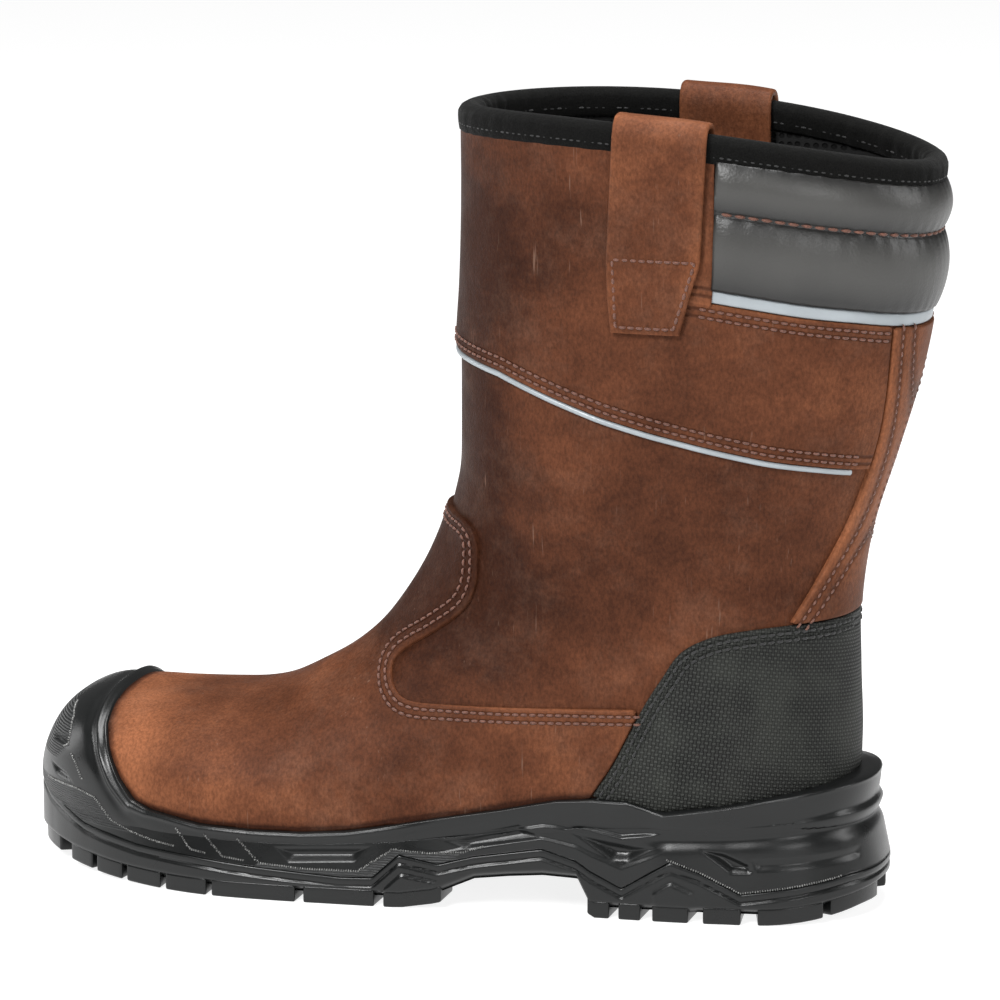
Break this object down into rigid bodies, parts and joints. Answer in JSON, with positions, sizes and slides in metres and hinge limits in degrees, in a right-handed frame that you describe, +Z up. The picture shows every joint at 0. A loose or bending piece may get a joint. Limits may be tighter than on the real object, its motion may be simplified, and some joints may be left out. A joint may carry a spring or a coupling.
{
  "type": "rigger boot",
  "caption": "Pull-on rigger boot: brown leather upper with padded collar and pull loops, black moulded rubber sole with scuff cap and deep lugs.",
  "frame": {"origin": "centre of the boot's bounding box in plan, on the floor plane", "axes": "+X from toe to heel, +Y towards the inner side of this left boot, +Z up"},
  "size_m": [0.3264, 0.1108, 0.2764],
  "materials": {
    "outsole": "satin, moulded",
    "midsole": "satin, moulded",
    "insole": "matt textile",
    "upper": "waxed, matt",
    "vamp": "waxed, matt",
    "heel_counter": "coarse woven",
    "backstay": "waxed, matt",
    "cuff_panel": "waxed, matt",
    "collar_pad": "smooth, satin",
    "reflective_band": "reflective coated",
    "reflective_piping": "reflective coated",
    "collar_binding": "napped, matt",
    "pull_loop_outer": "waxed, matt",
    "pull_loop_inner": "waxed, matt"
  },
  "bodies": {
    "root": {"outsole": "outsole", "midsole": "midsole", "insole": "insole", "upper": "upper", "vamp": "vamp", "heel_counter": "heel_counter", "backstay": "backstay", "cuff_panel": "cuff_panel", "collar_pad": "collar_pad", "reflective_band": "reflective_band", "reflective_piping": "reflective_piping", "collar_binding": "collar_binding", "pull_loop_outer": "pull_loop_outer", "pull_loop_inner": "pull_loop_inner"}
  },
  "joints": []
}
